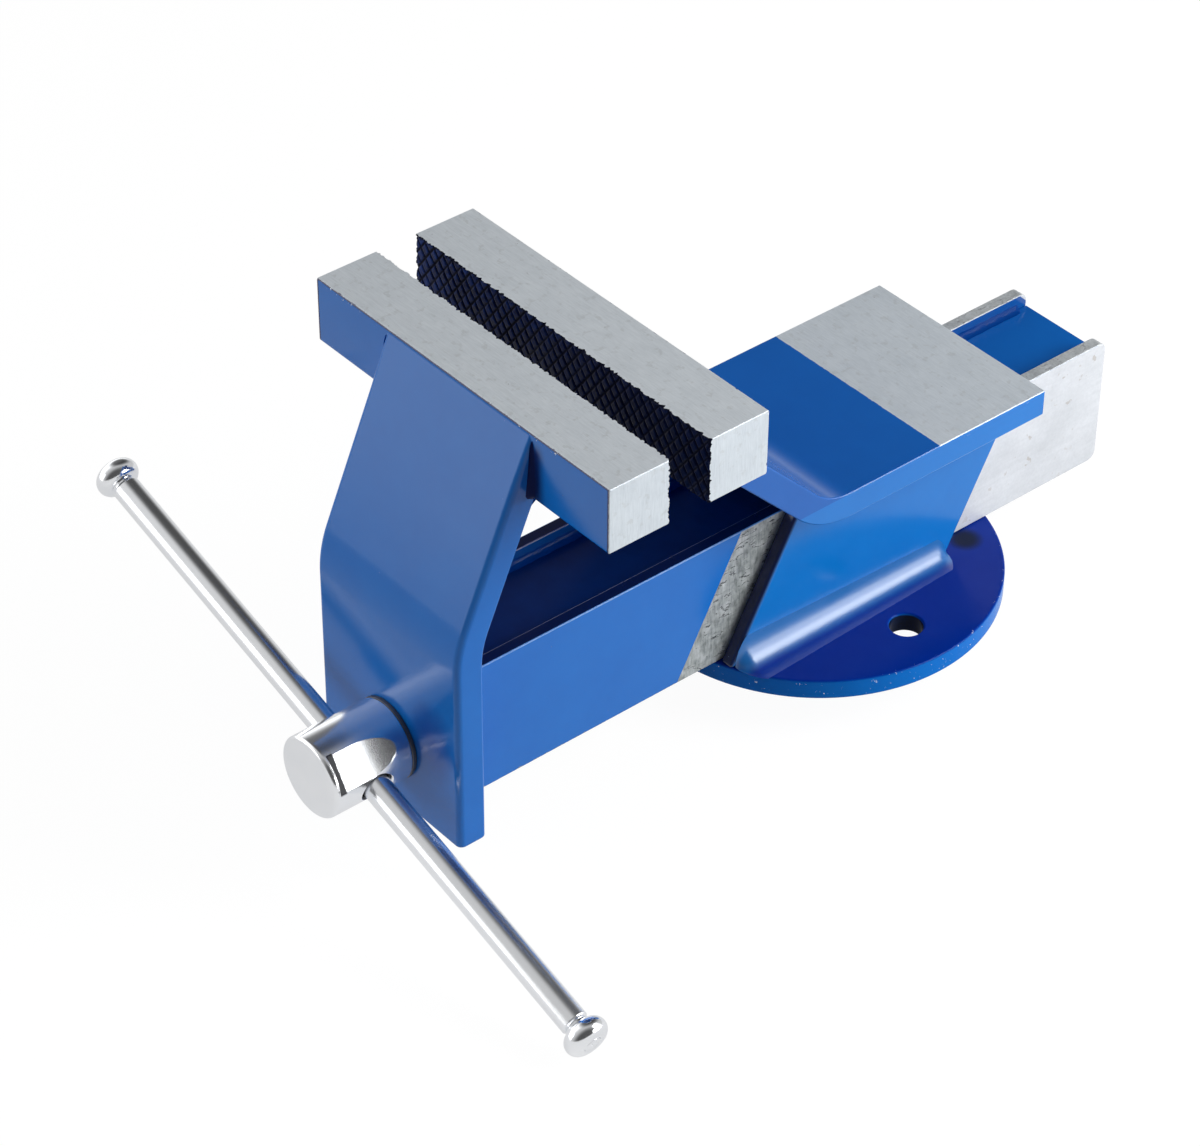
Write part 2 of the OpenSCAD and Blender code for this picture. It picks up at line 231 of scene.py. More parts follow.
class Nodes:
    """A node tree. Its add method makes any node: settings are set first, then sockets."""

    def __init__(self, tree):
        self.nodes = tree.nodes
        self.links = tree.links
        self.nodes.clear()

    def add(self, kind, settings=None, sockets=None, out=0):
        node = self.nodes.new(kind)
        for name, value in (settings or {}).items():
            setattr(node, name, value)
        pairs = sockets.items() if isinstance(sockets, dict) else enumerate(sockets or [])
        for name, value in pairs:
            if isinstance(value, Value):
                self.links.new(value.socket, node.inputs[name])
            else:
                node.inputs[name].default_value = value
        return node if out is None else Value(self, node.outputs[out])

    def vector(self, operation, sockets, out=0):
        return self.add("ShaderNodeVectorMath", {"operation": operation}, sockets, out)

    def split(self, vector):
        node = self.add("ShaderNodeSeparateXYZ", sockets=[vector], out=None)
        return [Value(self, socket) for socket in node.outputs]

    def mix(self, factor, first, second):
        """Two colours mixed by a factor."""
        first, second = ((*v, 1) if isinstance(v, tuple) else v for v in (first, second))
        settings = {"data_type": "RGBA", "clamp_factor": True}
        return self.add("ShaderNodeMix", settings, {0: factor, 6: first, 7: second}, out=2)

    def ramp(self, factor, levels):
        """A factor's colour, between levels that each have a position and a colour."""
        node = self.add("ShaderNodeValToRGB", sockets=[factor], out=None)
        stops = node.color_ramp.elements
        while len(stops) < len(levels):
            stops.new(1.0)
        for stop, (position, colour) in zip(stops, levels):
            stop.position = position
            stop.color = (*colour, 1)
        return Value(self, node.outputs[0])


class Finish(Nodes):
    """The nodes of one material, with places in metres (x, y, z) and millimetres (mm)."""

    def __init__(self, name):
        self.material = bpy.data.materials.new(name)
        self.material.use_nodes = True
        super().__init__(self.material.node_tree)
        place = self.add("ShaderNodeTexCoord", out="Object")
        self.x, self.y, self.z = self.split(place)
        self.mm = self.vector("SCALE", {0: place, "Scale": 1 / MM})

    def noise(self, size, detail=2.0, rough=0.5, stretch=(1, 1, 1), shift=0.0, place=None):
        """Noise with features about size millimetres across, longer where stretch is above 1."""
        scaled = self.vector("MULTIPLY", [place or self.mm, tuple(1 / (size * s) for s in stretch)])
        moved = self.vector("ADD", [scaled, (shift, shift, shift)]) if shift else scaled
        sockets = {"Vector": moved, "Scale": 1.0, "Detail": detail, "Roughness": rough}
        return self.add("ShaderNodeTexNoise", sockets=sockets)

    def specks(self, cell, radius, share=1.0, shift=0.0):
        """Round dots of a radius in millimetres, in a share of the cells of a size."""
        moved = self.vector("ADD", [self.mm, (shift, shift, shift)]) if shift else self.mm
        near = self.add("ShaderNodeTexVoronoi", sockets={"Vector": moved, "Scale": 1 / cell}, out=None)
        colour = Value(self, near.outputs["Color"])
        chance = self.add("ShaderNodeSeparateColor", sockets=[colour])
        dots = Value(self, near.outputs["Distance"]).below(radius / cell, 0.4 * radius / cell)
        return dots * chance.below(share, 0.01)

    def ragged(self, size, reach, shift=0.0):
        """A length that wanders about zero, used to break a paint edge."""
        return (self.noise(size, 3, 0.6, shift=shift) - 0.5) * (2 * reach)

    def close(self, look, specular=0.5):
        """Feeds a look to the shader and returns the finished material."""
        heights = {"Strength": 1.0, "Distance": 1.0, "Height": look["height"]}
        bump = self.add("ShaderNodeBump", sockets=heights)
        sockets = {"Base Color": look["colour"], "Roughness": look["roughness"],
                   "Metallic": look["metallic"], "Normal": bump, "Specular IOR Level": specular}
        shader = self.add("ShaderNodeBsdfPrincipled", sockets=sockets)
        self.add("ShaderNodeOutputMaterial", sockets={"Surface": shader}, out=None)
        return self.material


def covered(f, mask, under, over):
    """One look over another where the mask is 1."""
    look = {"colour": f.mix(mask, under["colour"], over["colour"])}
    for name in ("roughness", "metallic", "height"):
        first, second = under[name], over[name]
        same = not isinstance(first, Value) and first == second
        look[name] = first if same else second * mask + first * (1 - mask)
    return look


def enamel(f, tone=PLAIN_BLUE):
    """Thick blue gloss paint: slightly uneven, with an orange-peel skin, dust nibs and small pits."""
    clouds = f.noise(24, 3) * 0.75 + f.noise(5, 2) * 0.25
    nibs = f.specks(8, 0.17, 0.3)
    pits = f.specks(10, 0.22, 0.3, shift=40)
    colour = f.mix(clouds, *tone)
    colour = f.mix(nibs * 0.4, colour, (0.20, 0.36, 0.70))
    colour = f.mix(pits * 0.8, colour, (0.002, 0.010, 0.05))
    skin = f.noise(2.4, 1) * 6e-6 + f.noise(13, 1) * 4e-5
    return {"colour": colour, "metallic": 0.0, "roughness": f.noise(30, 2) * 0.08 + 0.14 + pits * 0.3,
            "height": skin + nibs * 3e-5 - pits * 6e-5}


def ground(f, along=(14, 1, 1), lift=0.13):
    """Bare ground steel: short scratches along one way, soft blotches, stains and tiny pits."""
    dark = tuple(level + lift for level in (0.53, 0.585, 0.635))
    light = tuple(level + lift for level in (0.66, 0.715, 0.765))
    scratches = f.noise(0.32, 3, 0.65, stretch=along)
    lines = f.noise(0.8, 2, 0.5, stretch=along, shift=11)
    pits = f.specks(5.5, 0.2, 0.3)
    stains = f.noise(3.4, 3, 0.6, shift=7).above(0.62, 0.07)
    level = scratches * 0.5 + lines * 0.2 + f.noise(10, 4, 0.6) * 0.3
    colour = f.ramp(level, [(0.34, dark), (0.62, light)])
    colour = f.mix(stains * 0.22, colour, (0.36, 0.37, 0.36))
    colour = f.mix(pits * 0.6, colour, (0.14, 0.14, 0.14))
    return {"colour": colour, "metallic": 0.3, "roughness": scratches * 0.2 + 0.36,
            "height": scratches * 7e-6 - pits * 4e-5}


def mill(f):
    """Bare bar stock with its rolled skin: pale, faintly mottled, with brown spots and small pits."""
    cloud = f.noise(18, 4, 0.6)
    grain = f.noise(1.2, 3, 0.6)
    spots = f.noise(4.4, 3, 0.55, shift=3).above(0.67, 0.03) * f.noise(30, 1, shift=5).above(0.5, 0.08)
    pits = f.specks(3.4, 0.28, 0.3) * f.noise(18, 2, shift=9).above(0.54, 0.05)
    level = cloud * 0.55 + grain * 0.25 + f.noise(1.8, 3, 0.6, stretch=(1, 7, 1)) * 0.2
    colour = f.ramp(level, [(0.36, (0.56, 0.585, 0.62)), (0.62, (0.69, 0.715, 0.755))])
    colour = f.mix(spots * 0.5, colour, (0.36, 0.31, 0.26))
    colour = f.mix(pits * 0.9, colour, (0.03, 0.03, 0.03))
    return {"colour": colour, "metallic": 0.3, "roughness": grain * 0.14 + 0.40 + spots * 0.2,
            "height": grain * 1.0e-5 + cloud * 5e-5 - pits * 1.5e-4}


def grimy(f):
    """Bar stock with old grime rubbed into its skin: grey-green, scored and pitted."""
    cloud = f.noise(6, 5, 0.65, shift=13)
    scores = f.noise(1.1, 4, 0.65, stretch=(1, 1, 5), shift=17)
    pits = f.specks(2.6, 0.34, 0.5, shift=8) * cloud.above(0.48, 0.06)
    veins = abs(f.noise(5, 4, 0.6, stretch=(1, 3, 1), shift=21) - 0.5)
    cracks = veins.below(0.012, 0.008) * cloud.above(0.5, 0.04)
    level = cloud * 0.6 + scores * 0.4
    stops = [(0.36, (0.15, 0.17, 0.17)), (0.50, (0.36, 0.39, 0.39)), (0.66, (0.60, 0.63, 0.64))]
    colour = f.ramp(level, stops)
    colour = f.mix(pits.larger(cracks) * 0.9, colour, (0.02, 0.025, 0.03))
    return {"colour": colour, "metallic": 0.3, "roughness": scores * 0.2 + 0.36,
            "height": cloud * 6e-5 + scores * 2e-5 - pits * 1.6e-4 - cracks * 8e-5}


def plated(f, rough, streak, along, place=None):
    """Bright plating: a soft mirror with a faint haze and fine polishing lines."""
    haze = f.noise(7, 3)
    lines = f.noise(0.45, 2, 0.6, stretch=along, place=place)
    bands = f.noise(1.6, 1, 0.5, stretch=along, place=place, shift=5)
    pits = f.specks(6, 0.13, 0.25)
    colour = f.mix(haze, (0.90, 0.92, 0.95), (0.97, 0.98, 1.0))
    colour = f.mix(pits * 0.5, colour, (0.2, 0.2, 0.22))
    return {"colour": colour, "metallic": 1.0, "roughness": haze * 0.05 + lines * streak + rough,
            "height": lines * 1.0e-6 + bands * 4e-6 + f.noise(7, 1) * 8e-6 - pits * 3e-5}


def oiled(f):
    """Dark turned steel with a film of oil and a little rust."""
    tone = f.noise(6, 4, 0.6)
    lines = f.noise(0.5, 2, 0.6, stretch=(1, 1, 6))
    rust = f.noise(3.2, 4, 0.6, shift=4).above(0.64, 0.05)
    steel = f.mix(tone, (0.06, 0.06, 0.065), (0.20, 0.20, 0.21))
    colour = f.mix(rust * 0.35, steel, (0.16, 0.09, 0.05))
    return {"colour": colour, "metallic": 0.8, "roughness": lines * 0.12 + 0.28 + rust * 0.2,
            "height": lines * 4e-6 + tone * 2e-5}


def cast(f):
    """Cast iron with its sandy skin."""
    skin = f.noise(1.4, 5, 0.65)
    colour = f.mix(skin * 0.5 + f.noise(12, 3) * 0.5, (0.05, 0.05, 0.052), (0.19, 0.19, 0.195))
    return {"colour": colour, "metallic": 0.8, "roughness": skin * 0.2 + 0.48, "height": skin * 1.2e-4}


def chips(f, size, share, shift):
    """Small broken places, gathered in patches."""
    here = f.noise(17, 1, shift=shift + 6).above(0.47, 0.05)
    return f.noise(size, 4, 0.62, shift=shift).above(share, 0.02) * here


def paint_base():
    """Enamel on the base plate: a painted shade on its top face, a chipped rim, and painted shade inside
    the mounting holes and in a dark patch behind each wall.
    """
    f = Finish("blue_enamel_base")
    # Painted shade: the inner walls of the mounting holes are darkened.
    across = abs(f.x) - BOLT_HOLE_X
    near_hole = (across * across + f.y * f.y).below(BOLT_HOLE_R ** 2, (1.6 * MM) ** 2)
    inside = near_hole * f.z.below(base_high.z - 0.7 * MM, 0.3 * MM)
    # Painted shade: a dark round patch on the flat base beside each wall's rear end.
    off_end = f.y - (strip_low.y + SHADE_PATCH_BACK)
    beside = abs(f.x) - (wall_high.x - 1.5 * MM)
    hollow = (off_end * off_end + beside * beside).below(SHADE_PATCH_R ** 2, 2.6e-5)
    hollow = hollow * f.z.above(base_high.z - 0.3 * MM)
    rim = (f.x * f.x + f.y * f.y).above((base_high.x - 0.9 * MM) ** 2, 2e-5)
    broken = rim * chips(f, 1.5, 0.67, 3)
    # Painted shade: the top face of the base plate takes a darker tone than its rounded edges.
    shaded = f.z.above(base_high.z - 0.5 * MM, 0.5 * MM)
    paint = covered(f, shaded, enamel(f), enamel(f, SHADED_BASE_BLUE))
    look = covered(f, broken, paint, ground(f))
    look = covered(f, inside.larger(hollow), look, enamel(f, HOLE_SHADE_BLUE))
    return f.close(look, specular=0.06)


def paint_base_weld():
    """Duller enamel on the base welds, with the base plate's darker tone of painted shade on their lower
    side.
    """
    f = Finish("blue_enamel_weld")
    # Painted shade: the weld's lower side, towards the base, takes the base plate's shaded tone.
    lower = abs(f.x).above(wall_high.x + 5.5 * MM + f.ragged(6, 0.8 * MM), 2.0 * MM)
    look = covered(f, lower, enamel(f, DULL_BLUE), enamel(f, SHADED_BASE_BLUE))
    look["roughness"] = look["roughness"] + 0.10
    return f.close(look, specular=1.0)


def paint_front_plate():
    """Enamel on the front plate, with a painted shade and reflection of the screw's head beside it."""
    f = Finish("blue_enamel_plate")
    beside = f.x - HEAD_SHADE_X
    over = f.z - (SCREW_Z + HEAD_SHADE_RISE)
    near = (beside * beside + over * over * 0.6 + f.noise(9, 2) * 1.2e-4).below(HEAD_SHADE_R ** 2, 1.5e-4)
    near = near * f.y.below(front_low.y + 2.5 * MM, 1 * MM)
    return f.close(covered(f, near * 0.7, enamel(f), enamel(f, HEAD_SHADE_BLUE)), specular=0.37)


def paint_wall():
    """Enamel on the body's walls, with painted light, a lighter tone, on their sides, and painted shade on
    their front faces, which lie in the slide's shade.
    """
    f = Finish("blue_enamel_wall")
    slant = f.y + (wall_high.z - f.z) * WALL_LEAN
    front = slant.below(wall_low.y + (wall_high.z - wall_low.z) * WALL_LEAN + 0.9 * MM, 0.7 * MM)
    # Painted light: the walls take a lighter tone than the plain enamel; painted shade: their front faces
    # take a dark one.
    return f.close(covered(f, front, enamel(f, LIT_WALL_BLUE), enamel(f, SHADED_WALL_FRONT_BLUE)), specular=0.5)


def paint_top_plate():
    """Enamel with the anvil's face ground bare, and chips along its edges. The enamel is painted lighter
    on the plate's sides and darker on its top face, with a painted highlight along the lower outer edges,
    and the bare steel is painted darker.
    """
    f = Finish("blue_enamel_anvil")
    edge = f.ragged(2.6, 0.35 * MM)
    face = f.z.above(ANVIL_Z - 0.3 * MM + edge * 0.3, 0.06 * MM)
    patch = f.y.above(ANVIL_GROUND_Y + edge, 0.12 * MM)
    band = f.z.above(ANVIL_Z - 2.0 * MM, 0.3 * MM) * patch
    bare = (face * patch).larger(band * chips(f, 1.5, 0.62, 2))
    # Painted highlight: a light line along the plate's lower outer edges.
    lower_edge = abs(f.x).above(top_high.x - 0.5 * MM, 0.1 * MM)
    lower_edge = lower_edge * f.z.below(top_low.z + 0.5 * MM, 0.1 * MM)
    # Painted light and shade: a lighter tone on the sides and a darker one on the top face.
    paint = covered(f, face, enamel(f, LIT_TOP_PLATE_BLUE), enamel(f, SHADED_ANVIL_TOP_BLUE))
    paint = covered(f, lower_edge * 0.8, paint, enamel(f, LIT_EDGE_BLUE))
    # Painted shade: the anvil's bare steel takes a darker tone than the jaws' ground tops.
    return f.close(covered(f, bare, paint, ground(f, lift=0.02)))


def paint_slide():
    """Bar stock: enamel on its front part up to a slanting edge and on its inner sides, bare behind. The
    enamel is painted darker as shade on the inner sides and the tops, with painted highlights along the
    top edges.
    """
    f = Finish("slide_bar_stock")
    slant = f.y + (flat_high.z - f.z) * WALL_LEAN
    outside = abs(f.x).above(flat_high.x - 0.6 * MM, 0.1 * MM)
    past_paint = slant.above(f.ragged(3.0, 0.25 * MM) + SLIDE_PAINT_TOP_Y, 0.1 * MM)
    top = f.z.above(flat_high.z - 0.35 * MM, 0.1 * MM)
    behind = f.y.above(f.ragged(4, 2.0 * MM) + TOP_BARE_Y, 0.4 * MM)
    end = f.y.above(f.ragged(2, 0.3 * MM) + (flat_high.y - 0.5 * MM), 0.1 * MM)
    corner = (f.y + f.z).above(flat_high.y + flat_high.z - 4.1 * MM, 0.1 * MM)
    foot = f.z.below(f.ragged(2.2, 0.9 * MM) + (flat_low.z + 0.4 * MM), 0.15 * MM) * outside
    bare = (outside * past_paint * (1 - top)).larger(top * behind).larger(end.larger(corner)).larger(foot)
    near_walls = slant.below(SLIDE_PAINT_TOP_Y + SLIDE_GRIME_LEN, 9 * MM)
    stock = covered(f, (near_walls * (1 - top * 0.5)).larger(top * 0.6), mill(f), grimy(f))
    outer_edge = abs(f.x).above(flat_high.x - 0.45 * MM, 0.1 * MM)
    outer_edge = outer_edge * f.z.above(flat_high.z - 0.5 * MM, 0.1 * MM)
    inner_edge = abs(f.x).below(flat_low.x + 0.45 * MM, 0.1 * MM) * top
    # Painted shade: the flats' inner sides and their tops take dark tones.
    paint = covered(f, 1 - outside, enamel(f), enamel(f, SHADED_INNER_BLUE))
    paint = covered(f, top, paint, enamel(f, SHADED_SLIDE_TOP_BLUE))
    # Painted highlights: light lines along the outer and inner top edges of the flats.
    paint = covered(f, outer_edge, paint, enamel(f, HIGHLIGHT_OUTER_EDGE_BLUE))
    paint = covered(f, inner_edge * 0.7, paint, enamel(f, HIGHLIGHT_INNER_EDGE_BLUE))
    return f.close(covered(f, bare, paint, stock), specular=0.45)


def paint_web():
    """Enamel on the slide's web in a darker tone of painted shade, darker still on its front part where
    the jaws shade it.
    """
    f = Finish("blue_enamel_web")
    # Painted shade: the front part of the web, under the jaws, is painted darker; film and oil here are
    # this painted shade.
    film = f.y.below(f.ragged(20, 12 * MM), 30 * MM)
    oil = {"colour": f.mix(f.noise(8, 3), *SHADED_WEB_FRONT_BLUE), "metallic": 0.0,
           "roughness": f.noise(12, 2) * 0.1 + 0.14, "height": f.noise(6, 2) * 2e-5}
    return f.close(covered(f, film * 0.95, enamel(f, SHADED_WEB_TOP_BLUE), oil), specular=0.25)


def paint_jaw(name, back_y, outward):
    """Jaw bar: ground top and ends, enamel on its back and underside with a chipped upper edge.

    The enamel has a painted shade and reflection in the band that lies beside the front plate's edge on
    the right, and a painted dark reflection along its upper edge and ends."""
    f = Finish(name)
    edge = f.ragged(1.6, 0.35 * MM)
    top = f.z.above(jaw_high.z - 0.06 * MM, 0.02 * MM)
    end = abs(f.x).above(jaw_high.x - 0.25 * MM + edge * 0.6, 0.08 * MM)
    near_edge = f.z.above(jaw_high.z - 1.5 * MM + edge, 0.1 * MM)
    bare = top.larger(end).larger(chips(f, 1.3, 0.62, 5) * near_edge)
    # Painted reflection: a dark line along the enamel's upper edge and its ends.
    painted_edge_reflection = f.z.above(jaw_high.z - 0.55 * MM + edge * 0.3, 0.1 * MM)
    painted_edge_reflection = painted_edge_reflection.larger(abs(f.x).above(jaw_high.x - 0.9 * MM + edge * 0.5, 0.15 * MM))
    # Painted shade and reflection: a dark band beside the front plate's edge on the right.
    beside_plate = f.x.above(front_high.x, 0.5 * MM)
    corner = f.x.below(front_high.x + CORNER_SHADE_W, 2.5 * MM)
    corner = corner * f.z.below(jaw_high.z - CORNER_SHADE_DROP, 3 * MM)
    paint = covered(f, beside_plate * corner * 0.95, enamel(f), enamel(f, SHADE_AND_REFLECTION_BLUE))
    paint = covered(f, painted_edge_reflection, paint, enamel(f, SHADE_AND_REFLECTION_BLUE))
    still_blue = ((f.y - back_y) * outward).above(-0.5 * MM + edge, 0.1 * MM) * chips(f, 2.4, 0.6, 31)
    steel = covered(f, end * (1 - top), ground(f), ground(f, along=(1, 1, 12), lift=0.0))
    return f.close(covered(f, bare * (1 - still_blue), paint, steel))


def paint_grip(name, face_y, outward):
    """The cut grip faces: navy on the lands, with painted shade nearly black down in the grooves and over
    the right half.
    """
    f = Finish(name)
    depth = (face_y - f.y) * outward
    # Painted shade: the grooves darken with their depth.
    groove = depth.above(0.20 * MM, 0.20 * MM)
    tone = f.noise(2.0, 4, 0.65).above(0.5, 0.16)
    # Painted shade: the lands darken towards the right; oil here is this painted shade.
    oil = f.x.above(-15 * MM, 60 * MM)
    # Light specks on the lands: partly wear, partly painted highlights, kept off the painted shade on the
    # right.
    wear_and_glints = f.noise(1.2, 3, 0.6, shift=3).above(0.62, 0.05) * (1 - groove)
    land = f.mix(tone, (0.001, 0.005, 0.045), (0.009, 0.036, 0.190))
    land = f.mix(oil * 0.75, land, (0.0008, 0.003, 0.022))
    colour = f.mix(groove, land, (0.0006, 0.002, 0.018))
    colour = f.mix(wear_and_glints * (1 - oil) * 0.3, colour, (0.03, 0.06, 0.14))
    look = {"colour": colour, "metallic": 0.0, "roughness": tone * 0.2 + 0.3 + groove * 0.25,
            "height": tone * 3e-5}
    return f.close(look, specular=0.1)


def finished(name, look, specular=0.45, **options):
    """A material of one look alone."""
    f = Finish(name)
    return f.close(look(f, **options), specular)


def along_bar(f):
    """Places in millimetres, turned so that X runs along the handle."""
    about_y = {"rotation_type": "Y_AXIS"}
    return f.add("ShaderNodeVectorRotate", about_y, {"Vector": f.mm, "Angle": -BAR_TILT})


def paint_bar():
    """Plating on the handle's bar, polished along its length."""
    f = Finish("chrome_bar")
    return f.close(plated(f, 0.15, 0.10, (40, 1, 1), along_bar(f)))


def paint_head():
    """Plating on the screw's head, with painted black shade behind the rim and round the handle's hole."""
    f = Finish("chrome_head")
    up = f.z - SCREW_Z
    over_flat = abs(f.x * cos(HEAD_FLAT_TURN) + up * sin(HEAD_FLAT_TURN))
    along_flat = up * cos(HEAD_FLAT_TURN) - f.x * sin(HEAD_FLAT_TURN)
    behind_rim = f.y - (head_low.y + HEAD_SHOULDER)
    crescent = behind_rim.below(f.ragged(2.5, 0.25 * MM) + 2.3 * MM, 0.3 * MM)
    crescent = crescent * behind_rim.above(-0.15 * MM, 0.15 * MM)
    crescent = crescent * over_flat.above(HEAD_FLAT - 0.5 * MM, 0.3 * MM)
    crescent = crescent * abs(along_flat).below(7.4 * MM, 0.4 * MM)
    off_axis = up * cos(BAR_TILT) + f.x * sin(BAR_TILT)
    from_bar = off_axis * off_axis + (f.y - BAR_Y) * (f.y - BAR_Y)
    mouth = from_bar.below((HOLE_R + 0.35 * MM) ** 2, 3e-6)
    # Painted shade: black behind the rim, where the flats start, and round the mouth of the handle's hole;
    # grime here is this painted shade.
    black = f.mix(f.noise(1, 2), (0.002, 0.003, 0.006), (0.01, 0.012, 0.02))
    grime = {"colour": black, "metallic": 0.0, "roughness": 0.45, "height": 0.0}
    return f.close(covered(f, crescent.larger(mouth), plated(f, 0.14, 0.05, (1, 1, 1)), grime))


BLUE = finished("blue_enamel", enamel)
WELD_BLUE = paint_base_weld()
# Painted shade and reflection: the right corner weld under the moving jaw is painted dark.
SHADED_CORNER_WELD_BLUE = finished("blue_enamel_corner_weld", enamel, specular=0.05, tone=SHADE_AND_REFLECTION_BLUE)
# Painted shade: the welds in the corners between web and flats are painted dark.
WEB_WELD_BLUE = finished("blue_enamel_web_weld", enamel, specular=0.05, tone=SHADED_WEB_CORNER_BLUE)
WALL_BLUE = paint_wall()
PLATE_BLUE = paint_front_plate()
HEAD_CHROME = paint_head()
BASE_BLUE = paint_base()
ANVIL_BLUE = paint_top_plate()
SLIDE = paint_slide()
WEB_BLUE = paint_web()
CHROME = finished("chrome_plate", plated, rough=0.10, streak=0.05, along=(1, 1, 1))
BAR_CHROME = paint_bar()
OILED = finished("oiled_steel", oiled)
CAST = finished("cast_iron", cast)


def modify(piece, name, kind, **settings):
    """Adds a modifier with its settings."""
    modifier = piece.modifiers.new(name, kind)
    for setting, value in settings.items():
        setattr(modifier, setting, value)


def weigh_normals(piece):
    """Lets the large faces set the shading at rounded edges."""
    modify(piece, "Normals", "WEIGHTED_NORMAL", keep_sharp=True)


def dress(node, material, edge, segments=3, angle=30):
    """Gives a CAD node its finish, and rounds its sharp edges by modifiers."""
    part = frame["nodes"][node]
    part.data.materials.clear()
    part.data.materials.append(material)
    part.data.shade_smooth()
    modify(part, "Weld", "WELD", merge_threshold=1e-6)
    modify(part, "Flat", "DECIMATE", decimate_type="DISSOLVE", angle_limit=radians(0.4))
    modify(part, "Round", "BEVEL", width=edge, segments=segments, limit_method="ANGLE",
           angle_limit=radians(angle), use_clamp_overlap=False)
    weigh_normals(part)


def in_scene(name, data):
    """A new object in the scene."""
    item = bpy.data.objects.new(name, data)
    bpy.context.scene.collection.objects.link(item)
    return item


def add_piece(name, node, mesh, *materials):
    """A piece that stands for a CAD node and rides on its body."""
    piece = in_scene(name, mesh)
    for material in materials:
        mesh.materials.append(material)
    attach(piece, BODIES[node])
    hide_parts(node)
    return piece


def mesh_of(name, points, faces, kinds=None):
    """A closed mesh from points and faces, with its faces turned outward and shaded smooth."""
    mesh = bpy.data.meshes.new(name)
    mesh.from_pydata(points, [], faces)
    if kinds:
        mesh.polygons.foreach_set("material_index", kinds)
    shape = bmesh.new()
    shape.from_mesh(mesh)
    bmesh.ops.recalc_face_normals(shape, faces=shape.faces)
    shape.to_mesh(mesh)
    shape.free()
    mesh.shade_smooth()
    return mesh


def crease(mesh, degrees):
    """Keeps the edges that turn more than an angle crisp, in a mesh that is shaded smooth."""
    shape = bmesh.new()
    shape.from_mesh(mesh)
    for edge in shape.edges:
        edge.smooth = not edge.is_manifold or edge.calc_face_angle(0) < radians(degrees)
    shape.to_mesh(mesh)
    shape.free()
    return mesh


def ring_faces(count, size):
    """Faces between count rings of size points each, with caps."""
    faces = []
    last = (count - 1) * size
    for low in range(0, last, size):
        for j in range(size):
            k = (j + 1) % size
            faces.append((low + j, low + k, low + size + k, low + size + j))
    return faces + [tuple(range(size)), tuple(range(last, last + size))]


def mesh_through(name, rings):
    """A closed mesh through rings of points."""
    points = [point for ring in rings for point in ring]
    return mesh_of(name, points, ring_faces(len(rings), len(rings[0])))


def arc(centre, radius, start, end, count):
    """Points on an arc, in the plane of an outline."""
    turns = [start + (end - start) * i / count for i in range(count + 1)]
    return [(centre[0] + radius * cos(a), centre[1] + radius * sin(a)) for a in turns]


def bored(mesh, cutter_mesh):
    """The mesh with another taken out of it."""
    blank, cutter = in_scene(mesh.name, mesh), in_scene("cutter", cutter_mesh)
    modify(blank, "Bore", "BOOLEAN", object=cutter)
    bpy.context.view_layer.update()
    result = bpy.data.meshes.new_from_object(blank.evaluated_get(bpy.context.evaluated_depsgraph_get()))
    bpy.data.objects.remove(blank)
    bpy.data.objects.remove(cutter)
    return result


# Jaws
def groove_depths(seed):
    """How deep each groove of one set is cut, none quite alike."""
    dice = random.Random(seed)
    return [GRIP_DEPTH * dice.uniform(0.55, 1.1) for i in range(GRIP_GROOVES)]


def grip_cut(x, z, sets):
    """Depth of the cut pattern at a place on the gripping face."""
    deepest = 0.0
    for lean, depths in zip((1, -1), sets):
        phase = (x + lean * z / GRIP_SLOPE) / GRIP_PITCH + GRIP_MIDDLE
        index = int(phase)
        across = abs(phase - index - 0.5) * 2
        deepest = max(deepest, depths[index] * max(0.0, 1 - across / GRIP_GROOVE))
    return deepest


def edge_wear(x, z, high_z, seed):
    """How much a gripping face has lost near its top edge and its ends, in burrs and notches."""
    from_edge = min(high_z - z, jaw_high.x - abs(x))
    fade = max(0.0, 1 - from_edge / (1.1 * MM))
    coarse = noise.noise(Vector((x, z, seed * MM)) / (1.3 * MM))
    fine = noise.noise(Vector((x, z, 0)) / (0.6 * MM))
    return fade * max(0.0, 0.25 + (coarse + 0.5 * fine)) * 1.1 * MM


